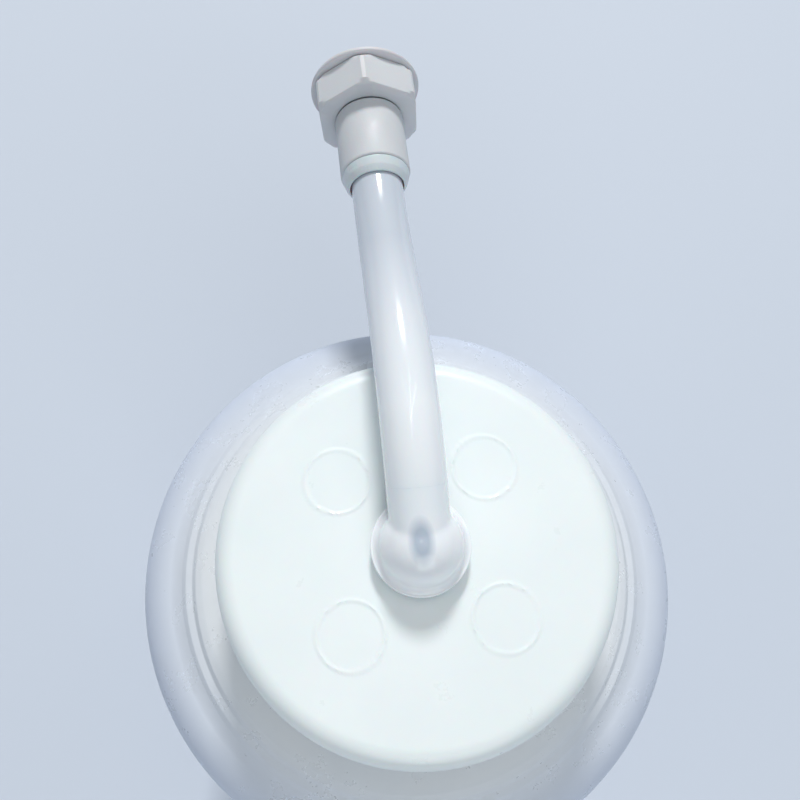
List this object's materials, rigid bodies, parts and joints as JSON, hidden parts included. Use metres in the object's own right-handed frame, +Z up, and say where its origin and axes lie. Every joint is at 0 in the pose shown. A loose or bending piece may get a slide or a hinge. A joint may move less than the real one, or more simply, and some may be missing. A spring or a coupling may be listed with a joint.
{
  "type": "condiment pump dispenser",
  "caption": "Wide-mouth clear jar with a white screw lid and a plunger pump, its head down, whose long spout ends in a hex-nutted nozzle; let the head rise and press it to dispense sauce.",
  "frame": {"origin": "centre of the jar's flat base", "axes": "+Z up along the pump's axis, +Y from the pump's axis towards the spout's outlet, +X to the right of a person who stands behind the pump and faces the spout"},
  "size_m": [0.156, 0.2207, 0.2638],
  "materials": {
    "clear_jar": "clear blow-moulded plastic, glossy",
    "lid_white": "glossy white moulded plastic",
    "natural_tube": "natural translucent plastic, glossy",
    "nozzle_white": "off-white satin plastic",
    "grey_ring": "soft grey translucent plastic",
    "pump_body": "natural white pump plastic, satin",
    "seal": "pale silicone",
    "steel": "stainless steel"
  },
  "bodies": {
    "jar_body": {"jar": "clear_jar"},
    "lid_liner_body": {"lid_liner": "seal"},
    "lid_unit": {"lid": "lid_white", "guide_bush": "pump_body", "wiper_ring": "seal", "pump_cylinder": "pump_body", "cylinder_gasket": "seal", "cylinder_nut": "pump_body", "return_spring": "steel", "inlet_valve_body": "pump_body", "inlet_ball_stop": "pump_body", "dip_tube": "natural_tube"},
    "inlet_ball_body": {"inlet_ball": "steel"},
    "plunger": {"piston": "pump_body", "piston_seal": "seal", "stem": "pump_body", "head_o_ring": "seal", "outlet_ball_stop": "pump_body"},
    "outlet_ball_body": {"outlet_ball": "steel"},
    "head_unit": {"pump_head": "natural_tube", "spout_tube": "natural_tube", "sleeve_ring": "grey_ring", "nozzle_sleeve": "nozzle_white"},
    "nozzle_valve_body": {"nozzle_valve": "seal"},
    "nut_unit": {"hex_nut": "nozzle_white", "nozzle_flange": "nozzle_white"}
  },
  "joints": [
    {"name": "lid_rise", "type": "slide", "parent": "jar_body", "child": "lid_liner_body", "axis": [0, 0, 1], "range_m": [0, 0.00625]},
    {"name": "lid_turn", "type": "hinge", "parent": "lid_liner_body", "child": "lid_unit", "pos_m": [0, 0, 0.23], "axis": [0, 0, 1], "range_deg": [0, 450]},
    {"name": "pump_stroke", "type": "slide", "parent": "lid_unit", "child": "plunger", "axis": [0, 0, 1], "range_m": [0, 0.021], "deforming": ["return_spring"]},
    {"name": "head_swivel", "type": "hinge", "parent": "plunger", "child": "head_unit", "pos_m": [0, 0, 0.25], "axis": [0, 0, 1], "continuous": true},
    {"name": "inlet_ball_lift", "type": "slide", "parent": "lid_unit", "child": "inlet_ball_body", "axis": [0, 0, 1], "range_m": [0, 0.0022]},
    {"name": "outlet_ball_lift", "type": "slide", "parent": "plunger", "child": "outlet_ball_body", "axis": [0, 0, 1], "range_m": [0, 0.0022]},
    {"name": "nut_travel", "type": "slide", "parent": "head_unit", "child": "nozzle_valve_body", "axis": [0, 0.9976, -0.0698], "range_m": [0, 0.005]},
    {"name": "nut_turn", "type": "hinge", "parent": "nozzle_valve_body", "child": "nut_unit", "pos_m": [0, 0.105, 0.2401], "axis": [0, 0.9976, -0.0698], "range_deg": [0, 900]}
  ],
  "couplings": [
    {"joint": "lid_turn", "follows": "lid_rise", "rad_per_m": 1256.6},
    {"joint": "nut_turn", "follows": "nut_travel", "rad_per_m": 3141.6}
  ]
}
